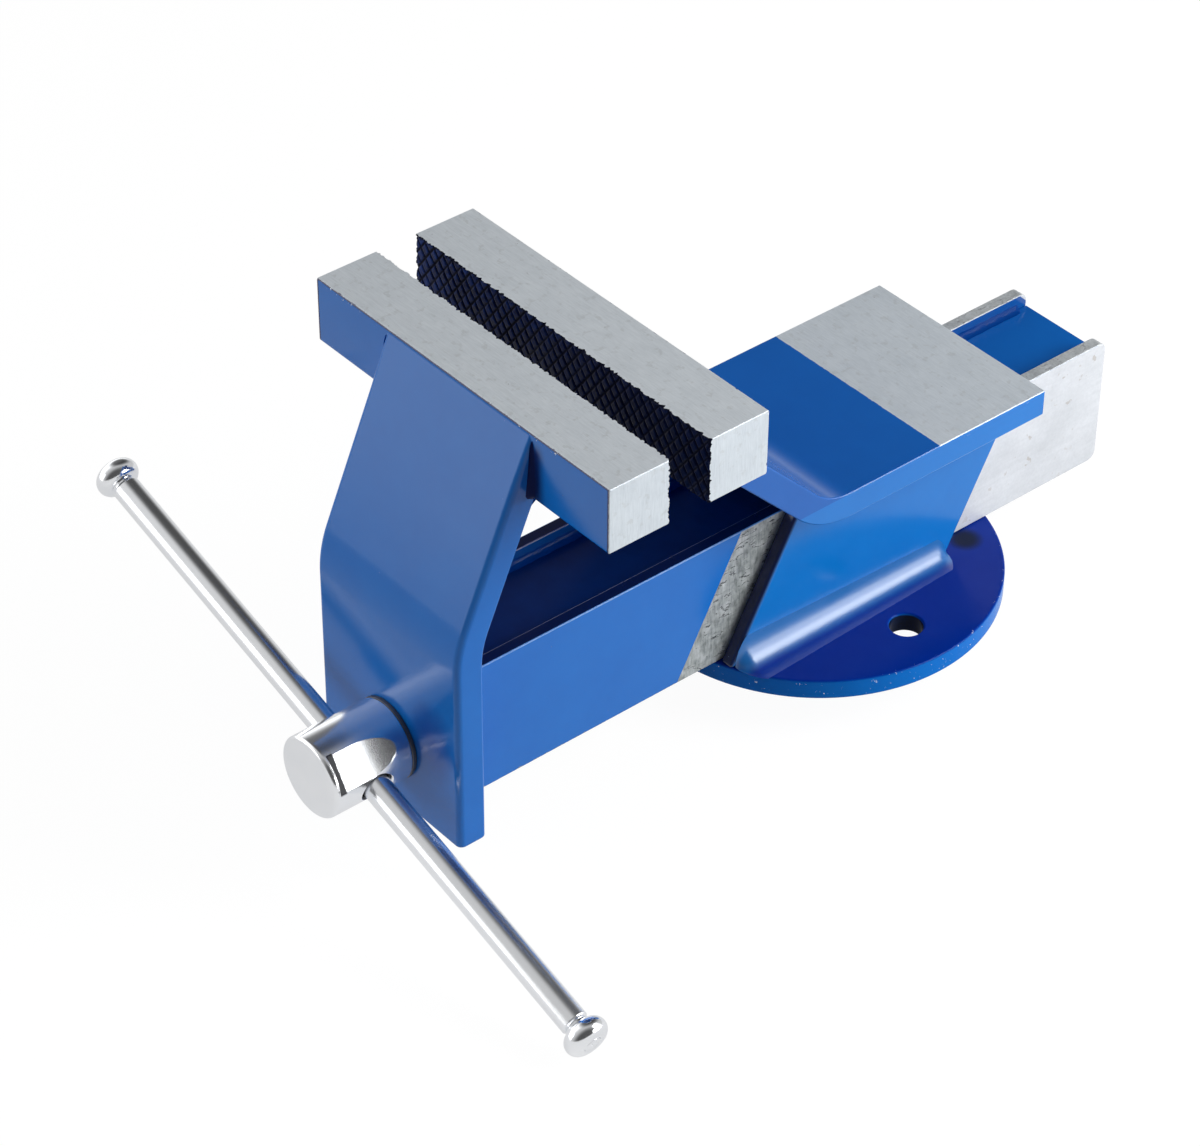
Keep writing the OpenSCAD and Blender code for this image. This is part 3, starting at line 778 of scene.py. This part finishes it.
def jaw_mesh(name, low, high, grip_side, seed):
    """A square bar whose gripping face is cut with crossed grooves, at high Y for 1 and low Y for -1."""
    face_y, back_y = (high.y, low.y) if grip_side > 0 else (low.y, high.y)
    sets = [groove_depths(seed), groove_depths(seed + 1)]
    rise = high.z - low.z
    rows = round(rise / GRIP_STEP)
    columns = round((high.x - low.x) / GRIP_STEP)
    top = [(face_y - grip_side * d, high.z) for d in (1.8 * MM, 3 * MM, 12 * MM)]
    rolled = [(0.36, 0.0), (0.20, 0.22), (0.08, 0.5), (0.02, 0.8), (0.0, 1.1)]
    back = [(back_y + grip_side * inset * MM, high.z - drop * MM) for inset, drop in rolled]
    back += [(back_y + grip_side * inset * MM, low.z + drop * MM) for inset, drop in reversed(rolled)]
    under = [(y, low.z) for y, _ in reversed(top)]
    count = rows + 1 + len(top) + len(back) + len(under)
    middle = ((face_y + back_y) / 2, (low.z + high.z) / 2)
    points = []
    for i in range(-1, columns + 2):
        inner = min(max(i, 0), columns)
        x = low.x + (high.x - low.x) * inner / columns
        ring = []
        for j in range(rows + 1):
            z = low.z + rise * j / rows
            cut = max(grip_cut(x, z, sets), edge_wear(x, z, high.z, seed))
            ring.append((face_y - grip_side * cut, z))
        ring += top + back + under
        if i in (-1, columns + 1):
            ring = [tuple(m + (place - m) * 0.98 for m, place in zip(middle, point)) for point in ring]
        elif i in (0, columns):
            x += 0.25 * MM if i == 0 else -0.25 * MM
        points += [(x, y, z) for y, z in ring]
    faces = ring_faces(columns + 3, count)
    kinds = [1 if len(face) == 4 and max(v % count for v in face) <= rows else 0 for face in faces]
    return crease(mesh_of(name, points, faces, kinds), 24)


def build_jaws():
    """Both jaw bars, each with its cut face towards the other."""
    moving = jaw_mesh("moving_jaw_bar", jaw_low, jaw_high, 1, 1)
    bar = paint_jaw("ground_jaw_moving", jaw_low.y, -1)
    add_piece("moving_jaw_bar", "moving_jaw", moving, bar, paint_grip("grip_moving", jaw_high.y, 1))
    fixed = jaw_mesh("fixed_jaw_bar", fixed_low, fixed_high, -1, 7)
    bar = paint_jaw("ground_jaw_fixed", fixed_high.y, 1)
    add_piece("fixed_jaw_bar", "fixed_jaw", fixed, bar, paint_grip("grip_fixed", fixed_low.y, -1))


# Front plate
def front_stations():
    """Pairs of points, on the plate's face and on its rear, from its foot up into the jaw."""
    bend_z = jaw_high.z - FRONT_START - (jaw_low.y - front_low.y) / tan(FRONT_LEAN)
    outer = FRONT_BEND_R + FRONT_T
    low_z = bend_z - outer * tan(FRONT_LEAN / 2)
    centre = (front_low.y + outer, low_z)
    turn = pi - FRONT_LEAN
    up = Vector((sin(FRONT_LEAN), cos(FRONT_LEAN)))
    foot = [(front_low.y, front_low.z), (front_low.y, (front_low.z + low_z) / 2)]
    pairs = [(point, (point[0] + FRONT_T, point[1])) for point in foot]
    pairs += list(zip(arc(centre, outer, pi, turn, 24), arc(centre, FRONT_BEND_R, pi, turn, 24)))
    run = FRONT_BLEND_R * tan(FRONT_LEAN / 2)
    hollow = (jaw_low.y - FRONT_BLEND_R, jaw_high.z - FRONT_START + run)
    blend = arc(hollow, FRONT_BLEND_R, -FRONT_LEAN, 0, 6)
    last_rear = Vector(pairs[-1][1])
    reach = (jaw_low.z + 2 * MM - last_rear.y) / up.y
    pairs.append((tuple(Vector(pairs[-1][0]) + up * reach), tuple(last_rear + up * reach)))
    pairs += [(point, (jaw_low.y + FRONT_SEAT, point[1])) for point in blend]
    return pairs


def plate_ring(face, rear, inset):
    """A rounded section across the front plate."""
    face, rear = Vector(face), Vector(rear)
    deep = (rear - face).length - 2 * inset
    way = (rear - face).normalized()
    low_x, high_x = front_low.x + inset, front_high.x - inset
    soft = min(FRONT_FACE_EDGE, 0.45 * deep)
    hard = min(FRONT_REAR_EDGE, 0.45 * deep)
    corners = [((high_x - soft, soft), soft, -pi / 2, 0),
               ((high_x - hard, deep - hard), hard, 0, pi / 2),
               ((low_x + hard, deep - hard), hard, pi / 2, pi),
               ((low_x + soft, soft), soft, pi, pi * 1.5)]
    ring = []
    for centre, radius, start, end in corners:
        for x, depth in arc(centre, radius, start, end, 6):
            place = face + way * (depth + inset)
            ring.append((x, place.x, place.y))
    return ring


def build_front_plate():
    """The bent plate, rounded along its foot and bored for the screw."""
    pairs = front_stations()
    rings = []
    for step in range(FOOT_STEPS + 1):
        swing = pi / 2 * step / FOOT_STEPS
        lift = FRONT_FOOT_EDGE * (1 - cos(swing))
        inset = FRONT_FOOT_EDGE * (1 - sin(swing))
        foot = [(y, z + lift) for y, z in pairs[0]]
        rings.append(plate_ring(*foot, inset))
    rings += [plate_ring(face, rear, 0) for face, rear in pairs[1:]]
    mesh = mesh_through("front_plate_body", rings)
    hole_r = SCREW_R + 0.08 * MM
    start, end = -9 * MM, FRONT_T + 9 * MM
    drill = turned_mesh("screw_drill", [(0, start), (hole_r, start), (hole_r, end), (0, end)])
    drill.transform(Matrix.Translation((0, front_low.y, SCREW_Z)) @ Matrix.Rotation(-pi / 2, 4, "X"))
    plate = add_piece("front_plate_body", "front_plate", crease(bored(mesh, drill), 35), PLATE_BLUE)
    weigh_normals(plate)


# Turned pieces
def turned_mesh(name, profile, around=72):
    """A mesh turned about Z from a profile of (radius, distance along the axis)."""
    points, faces, rings = [], [], []
    for radius, along in profile:
        if radius <= 1e-7:
            rings.append([len(points)])
            points.append((0, 0, along))
        else:
            rings.append(list(range(len(points), len(points) + around)))
            points += [(x, y, along) for x, y in arc((0, 0), radius, 0, 2 * pi, around)[:-1]]
    for first, second in zip(rings, rings[1:]):
        for i in range(around):
            k = (i + 1) % around
            if len(first) == 1:
                faces.append((first[0], second[i], second[k]))
            elif len(second) == 1:
                faces.append((first[i], first[k], second[0]))
            else:
                faces.append((first[i], first[k], second[k], second[i]))
    return crease(mesh_of(name, points, faces), 35)


def bar_place(along, way=1):
    """Where a piece turned about Z sits on the handle's axis, pointing right for 1 or left for -1."""
    tilt = Matrix.Rotation(BAR_TILT, 4, "Y")
    point = Matrix.Rotation(pi / 2 * way, 4, "Y")
    return Matrix.Translation((0, BAR_Y, SCREW_Z)) @ tilt @ Matrix.Translation((along, 0, 0)) @ point


def build_handle():
    """The bar with its riveted ends, and a knob with a boss on each."""
    half, radius, shank = BAR_LEN / 2, BAR_D / 2, SHANK_D / 2
    end = half + KNOB_LEN
    dimple = [(0, end - 0.55 * MM), (0.5 * MM, end - 0.55 * MM),
              (0.9 * MM, end - 0.1 * MM), (1.3 * MM, end)]
    rivet = [(shank - 0.5 * MM, end), (shank - 0.12 * MM, end - 0.15 * MM), (shank, end - 0.5 * MM)]
    shoulder = [(shank, half), (radius - 0.8 * MM, half),
                (radius - 0.25 * MM, half - 0.45 * MM), (radius, half - 0.8 * MM)]
    upper = dimple + rivet + shoulder
    bar = turned_mesh("handle_rod", upper + [(r, -z) for r, z in reversed(upper)])
    bar.transform(bar_place(-BAR_SHIFT))
    add_piece("handle_rod", "handle_bar", bar, BAR_CHROME)
    ball_len = KNOB_LEN - BOSS_LEN
    ball_r = ball_len / 2
    waist = KNOB_D / 2 - ball_r
    hole = shank + 0.02 * MM
    groove = [(hole, 0.35 * MM), (hole + 0.3 * MM, 0.05 * MM), (waist - 0.3 * MM, 0), (waist, 0)]
    round_side = arc((waist, ball_r), ball_r, -pi / 2, pi / 2, 20)[1:-1]
    boss = [(waist, ball_len), (BOSS_D / 2 + 0.3 * MM, ball_len), (BOSS_D / 2, ball_len + 0.3 * MM),
            (BOSS_D / 2, KNOB_LEN - 0.25 * MM), (BOSS_D / 2 - 0.25 * MM, KNOB_LEN), (hole, KNOB_LEN)]
    outline = groove + round_side + boss + [(hole, 0.35 * MM)]
    for side, way in (("right", -1), ("left", 1)):
        knob = turned_mesh("knob_" + side, outline)
        knob.transform(bar_place(-way * end - BAR_SHIFT, way))
        add_piece("knob_" + side, "handle_knob_" + side, knob, CHROME)


# Screw head
def head_ring(along, radius, flat, opening):
    """A section of the head: a circle with two opposite flats that meet it at an opening angle."""
    ring = []
    for half_turn in (0, pi):
        flats = [opening * (i / 5 - 1) for i in range(11)]
        rounds = [opening + (pi - 2 * opening) * i / 40 for i in range(1, 40)]
        for angle in flats + rounds:
            on_flat = abs(angle) <= opening + 1e-6
            reach = min(radius, flat / max(cos(angle), 0.1)) if on_flat else radius
            turn = angle + half_turn + HEAD_FLAT_TURN
            ring.append((reach * cos(turn), head_low.y + along, SCREW_Z + reach * sin(turn)))
    return ring


def build_screw_head():
    """The head: a rounded rim, a shoulder, two flats that run out to round, and the handle's bore."""
    crease_angle = acos(HEAD_FLAT / HEAD_R)
    rim = arc((HEAD_R - HEAD_EDGE, HEAD_EDGE), HEAD_EDGE, -pi / 2, 0, 6)
    rings = [head_ring(along, radius, HEAD_R, crease_angle) for radius, along in rim]
    rings.append(head_ring(HEAD_SHOULDER, HEAD_R, HEAD_R, crease_angle))
    rings.append(head_ring(HEAD_SHOULDER + 0.3 * MM, HEAD_R, HEAD_FLAT, crease_angle))
    rings.append(head_ring(HEAD_FLAT_END, HEAD_R, HEAD_FLAT, crease_angle))
    for i in range(1, RUNOUT_STEPS + 1):
        t = i / RUNOUT_STEPS
        flat = HEAD_FLAT + (HEAD_R - HEAD_FLAT) * t ** 1.7
        opening = max(acos(min(1.0, flat / HEAD_R)), HEAD_LEAST_OPENING)
        rings.append(head_ring(HEAD_FLAT_END + (HEAD_RUNOUT - HEAD_FLAT_END) * t, HEAD_R, flat, opening))
    length = head_high.y - head_low.y
    for inset, shrink in ((0.6 * MM, 0), (0.2 * MM, 0.15 * MM), (0, 0.6 * MM)):
        rings.append(head_ring(length - inset, HEAD_R - shrink, HEAD_R, HEAD_LEAST_OPENING))
    mesh = mesh_through("screw_head_body", rings)
    flare = [(0, -20 * MM), (HOLE_R + 5 * MM, -20 * MM),
             (HOLE_R + 0.7 * MM, -14.6 * MM), (HOLE_R, -12.5 * MM)]
    drill = turned_mesh("bar_drill", flare + [(radius, -along) for radius, along in reversed(flare)])
    drill.transform(bar_place(0))
    head = add_piece("screw_head_body", "screw_head", crease(bored(mesh, drill), 20), HEAD_CHROME)
    weigh_normals(head)


# Screw with its real helix
def thread_radius(turn, along, start, end):
    """Radius of the shaft at a turn in radians and a distance along it."""
    if along < start or along > end:
        return SCREW_R
    root = 1 - THREAD_CREST - 2 * THREAD_FLANK
    past_root = (along / THREAD_PITCH - turn / (2 * pi)) % 1 - root
    flanks = 1 - past_root / THREAD_FLANK, (past_root - THREAD_FLANK - THREAD_CREST) / THREAD_FLANK
    cut = min(1.0, max(0.0, *flanks))
    return SCREW_R - THREAD_DEPTH * cut * min(1.0, (along - start) / (2 * MM))


def build_screw():
    """The shaft: a plain neck, then the thread up to a chamfered end."""
    start = collar_high.y + 3 * MM
    around = 56
    neck_end = head_high.y + 1 * MM
    steps = [screw_low.y, neck_end, neck_end + 0.01 * MM, start]
    fine = THREAD_PITCH / 20
    steps += [start + (i + 1) * fine for i in range(int((screw_high.y - start) / fine))]
    points = []
    for y in steps:
        for i in range(around):
            turn = 2 * pi * i / around
            radius = NECK_R if y <= neck_end else thread_radius(turn, y, start, screw_high.y)
            past = max(0.0, y - (screw_high.y - THREAD_CHAMFER))
            radius = min(radius, SCREW_R - past * THREAD_DEPTH / THREAD_CHAMFER)
            points.append((radius * sin(turn), y, SCREW_Z + radius * cos(turn)))
    mesh = crease(mesh_of("screw_thread", points, ring_faces(len(steps), around)), 40)
    add_piece("screw_thread", "screw", mesh, OILED)


# Welds
def bead(*places, **form):
    """The arguments of one weld for bead_rings, apart from its seed."""
    return places, form


def twin_welds(x, start, end, out, second, **form):
    """The same weld on the left and on the right, at x from the middle, with one leg outward."""
    return [bead((side * x, *start), (side * x, *end), (side * out, 0, 0), second, **form)
            for side in (-1, 1)]


def bead_rings(seed, start, end, first, second, hollow, ripple, taper=0.5, narrow=1.0):
    """The sections of a fillet weld between two ends, with a leg along each of its two surfaces.

    A hollow of 1 meets both surfaces at a tangent, 0 is flat, and below 0 the bead stands proud.
    It tapers off within a share of its leg at the ends, and narrows to a share towards its end."""
    across = 12
    start, end, first, second = (Vector(v) for v in (start, end, first, second))
    length = (end - start).length
    steps = max(16, round(length / (1.2 * MM)))
    reach = (first.length + second.length) / 2
    control = (first + second) / 2 * (1 - hollow)
    rings = []
    for i in range(steps + 1):
        t = i / steps
        from_end = min(t, 1 - t) * length
        rounding = sqrt(min(1.0, from_end / (taper * reach) + 0.04))
        wave = noise.noise(Vector((i * 0.3, seed, 0))) + 0.6 * noise.noise(Vector((i * 0.8, seed + 9, 0)))
        size = rounding * (1 + ripple * wave) * (1 + (narrow - 1) * t)
        ring = [start.lerp(end, t)]
        for j in range(across + 1):
            u = j / across
            bend = first * ((1 - u) ** 2) + control * (2 * u * (1 - u)) + second * (u * u)
            own = 1 + 0.6 * ripple * noise.noise(Vector((i * 0.5, j * 0.7, seed)))
            ring.append(ring[0] + bend * (size * own))
        rings.append(ring)
    return rings


def add_weld(name, node, runs, material):
    """A piece made of one or more weld beads."""
    points, faces = [], []
    for number, (places, form) in enumerate(runs):
        rings = bead_rings(len(name) + number, *places, **form)
        offset = len(points)
        points += [tuple(point) for ring in rings for point in ring]
        faces += [tuple(v + offset for v in face) for face in ring_faces(len(rings), len(rings[0]))]
    add_piece(name, node, crease(mesh_of(name, points, faces), 50), material)


def build_welds():
    """Welds at the walls' feet, along the slide's web and behind the front plate."""
    foot = base_high.z
    lean = (strip_high.z - foot) * WALL_LEAN
    start_y = wall_low.y + 2.2 * MM
    end_y = wall_high.y - lean - 0.5 * MM
    reach = 12 * MM
    runs = twin_welds(wall_high.x, (start_y, foot), (end_y, foot), reach, (0, 0, reach),
                      hollow=0.92, ripple=0.012, taper=0.4, narrow=0.7)
    add_weld("base_weld_beads", "base_welds", runs, WELD_BLUE)
    leg = 2.5 * MM
    front, rear = web_low.y + 4 * MM, web_high.y - 4 * MM
    runs = twin_welds(web_high.x, (front, web_high.z), (rear, web_high.z), -leg, (0, 0, leg),
                      hollow=0.6, ripple=0.14)
    # Painted shade: these welds take a dark tone.
    add_weld("web_weld_beads", "web_welds", runs, WEB_WELD_BLUE)
    leg = 6 * MM
    low, high = flat_low.z + 0.5 * MM, flat_high.z - 0.5 * MM
    runs = twin_welds(flat_high.x, (web_low.y, low), (web_low.y, high), leg, (0, leg, 0),
                      hollow=0.9, ripple=0.05)
    add_weld("slide_weld_beads", "slide_welds", runs, BLUE)


def build_jaw_welds():
    """Welds between each jaw and the plate that carries it."""
    down = Vector((0, -sin(FRONT_LEAN), -cos(FRONT_LEAN)))
    rear_y = jaw_low.y + 2.3 * MM
    edge_x = front_high.x - 0.2 * MM
    leg = 8 * MM
    under = bead((-edge_x, rear_y, jaw_low.z), (edge_x, rear_y, jaw_low.z), down * leg, (0, leg, 0),
                 hollow=0.9, ripple=0.04)
    leg = 4 * MM
    bottom = (jaw_low.y + 1 * MM, jaw_low.z - 0.5 * MM)
    top = (jaw_low.y, jaw_high.z - 2.5 * MM)
    left, right = twin_welds(front_high.x, bottom, top, leg, (0, -leg, 0),
                             hollow=0.75, ripple=0.03, narrow=0.2)
    # Painted shade and reflection: the right corner weld takes a dark tone.
    add_weld("moving_jaw_weld_corner", "moving_jaw_weld", [right], SHADED_CORNER_WELD_BLUE)
    add_weld("moving_jaw_weld_bead", "moving_jaw_weld", [under, left], BLUE)
    low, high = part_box("fixed_jaw_weld")
    slope = Vector((0, sqrt(0.5), -sqrt(0.5)))
    neck_y = low.y + 6 * MM
    front = bead((low.x, neck_y, fixed_low.z), (high.x, neck_y, fixed_low.z),
                 (0, -6 * MM, 0), slope * 6 * MM, hollow=0.5, ripple=0.08)
    rear = bead((low.x, fixed_high.y, fixed_low.z), (high.x, fixed_high.y, fixed_low.z),
                slope * 5 * MM, (0, 0, 5 * MM), hollow=0.5, ripple=0.08)
    add_weld("fixed_jaw_weld_beads", "fixed_jaw_weld", [front, rear], BLUE)


def dress_nodes():
    """Finishes and edges of the nodes whose CAD shape stays."""
    dress("base_plate", BASE_BLUE, 0.8 * MM, 4)
    for side in ("left", "right"):
        dress("body_wall_" + side, WALL_BLUE, 1.5 * MM, 4)
        dress("slide_flat_" + side, SLIDE, 0.5 * MM)
    dress("top_plate", ANVIL_BLUE, 0.6 * MM)
    dress("guide_strips", OILED, 0.2 * MM, 2)
    dress("nut_block", CAST, 0.6 * MM)
    dress("nut_bolts", OILED, 0.15 * MM, 2, 50)
    dress("slide_web", WEB_BLUE, 0.3 * MM)
    dress("thrust_washer", OILED, 0.2 * MM, 2)
    dress("retaining_collar", OILED, 0.5 * MM)
    dress("collar_pin", OILED, 0.1 * MM, 2, 50)


# Studio
def add_lamp(name, at, size, radiance):
    """A soft box of a size in metres that faces the vise, with a radiance where 1 is white."""
    lamp = bpy.data.lights.new(name, "AREA")
    lamp.shape = "RECTANGLE"
    lamp.size, lamp.size_y = size
    lamp.energy = radiance * pi * size[0] * size[1]
    box = in_scene(name, lamp)
    box.location = at
    box.rotation_mode = "QUATERNION"
    box.rotation_quaternion = (VISE_MIDDLE - Vector(at)).to_track_quat("-Z", "Y")
    box.visible_camera = False


def build_studio():
    """Three soft boxes in a room that is brighter on the left than on the right and overhead."""
    add_lamp("key_box", (0.52, 0.38, 0.47), (0.38, 0.38), 9)
    add_lamp("side_box", (0.75, 0.45, 0.10), (0.8, 0.5), 4.6)
    add_lamp("front_box", (-0.80, -1.25, 0.25), (1.1, 0.9), 1.6)
    world = bpy.data.worlds.new("studio_room")
    world.use_nodes = True
    bpy.context.scene.world = world
    room = Nodes(world.node_tree)
    way = room.add("ShaderNodeTexCoord", out="Generated")
    upper_rear, right, left = (room.vector("DOT_PRODUCT", [way, aim], out="Value")
                               for aim in (UPPER_REAR, RIGHT_SIDE, LEFT_SIDE))
    level = (1 - right.above(0.45, 0.35) * 0.85) * 0.55 + left.above(0.65, 0.3) * 0.95
    level = level * (1 - upper_rear.above(0.79, 0.15) * 0.9)
    seen = room.add("ShaderNodeLightPath", out="Is Camera Ray")
    sky = room.add("ShaderNodeBackground", sockets={"Color": (1, 1, 1, 1), "Strength": level.larger(seen)})
    room.add("ShaderNodeOutputWorld", sockets=[sky], out=None)


def build_floor():
    """A pale floor just under the handle's lower knob. The camera sees it nearly white."""
    floor_z = cad_box[0].z - FLOOR_GAP
    mesh = bpy.data.meshes.new("floor")
    rim = [(x, y, floor_z) for x, y in arc((0, 0), FLOOR_R, 0, 2 * pi, 96)[:-1]]
    mesh.from_pydata(rim, [], [tuple(range(len(rim)))])
    floor = in_scene("floor", mesh)
    f = Finish("pale_floor")
    colour = f.mix(f.noise(400, 1), (0.50, 0.50, 0.50), (0.52, 0.52, 0.52))
    plain = f.add("ShaderNodeBsdfDiffuse", sockets={"Color": colour})
    bright = f.add("ShaderNodeEmission", sockets={"Color": (1, 1, 1, 1), "Strength": 1.12})
    camera, glossy, through = (f.add("ShaderNodeLightPath", out="Is " + kind + " Ray")
                               for kind in ("Camera", "Glossy", "Transmission"))
    shown = (camera * 0.85).larger(glossy.larger(through) * 0.5)
    both = f.add("ShaderNodeMixShader", sockets={0: shown, 1: plain, 2: bright})
    f.add("ShaderNodeOutputMaterial", sockets={"Surface": both}, out=None)
    mesh.materials.append(f.material)


def build_camera():
    """The camera that took the photograph."""
    camera = bpy.data.cameras.new("photo_camera")
    camera.sensor_width = SENSOR
    camera.lens = FOCAL_PX * SENSOR / IMAGE_W
    camera.clip_start, camera.clip_end = 0.05, 20
    holder = in_scene("photo_camera", camera)
    right, up = Vector(CAMERA_RIGHT), Vector(CAMERA_UP)
    turn = Matrix((right, up, right.cross(up))).transposed().to_4x4()
    holder.matrix_world = Matrix.Translation(CAMERA_AT) @ turn
    bpy.context.scene.camera = holder


dress_nodes()
build_jaws()
build_front_plate()
build_handle()
build_screw_head()
build_screw()
build_welds()
build_jaw_welds()
build_studio()
build_floor()
build_camera()

bpy.context.scene.view_settings.view_transform = "Standard"
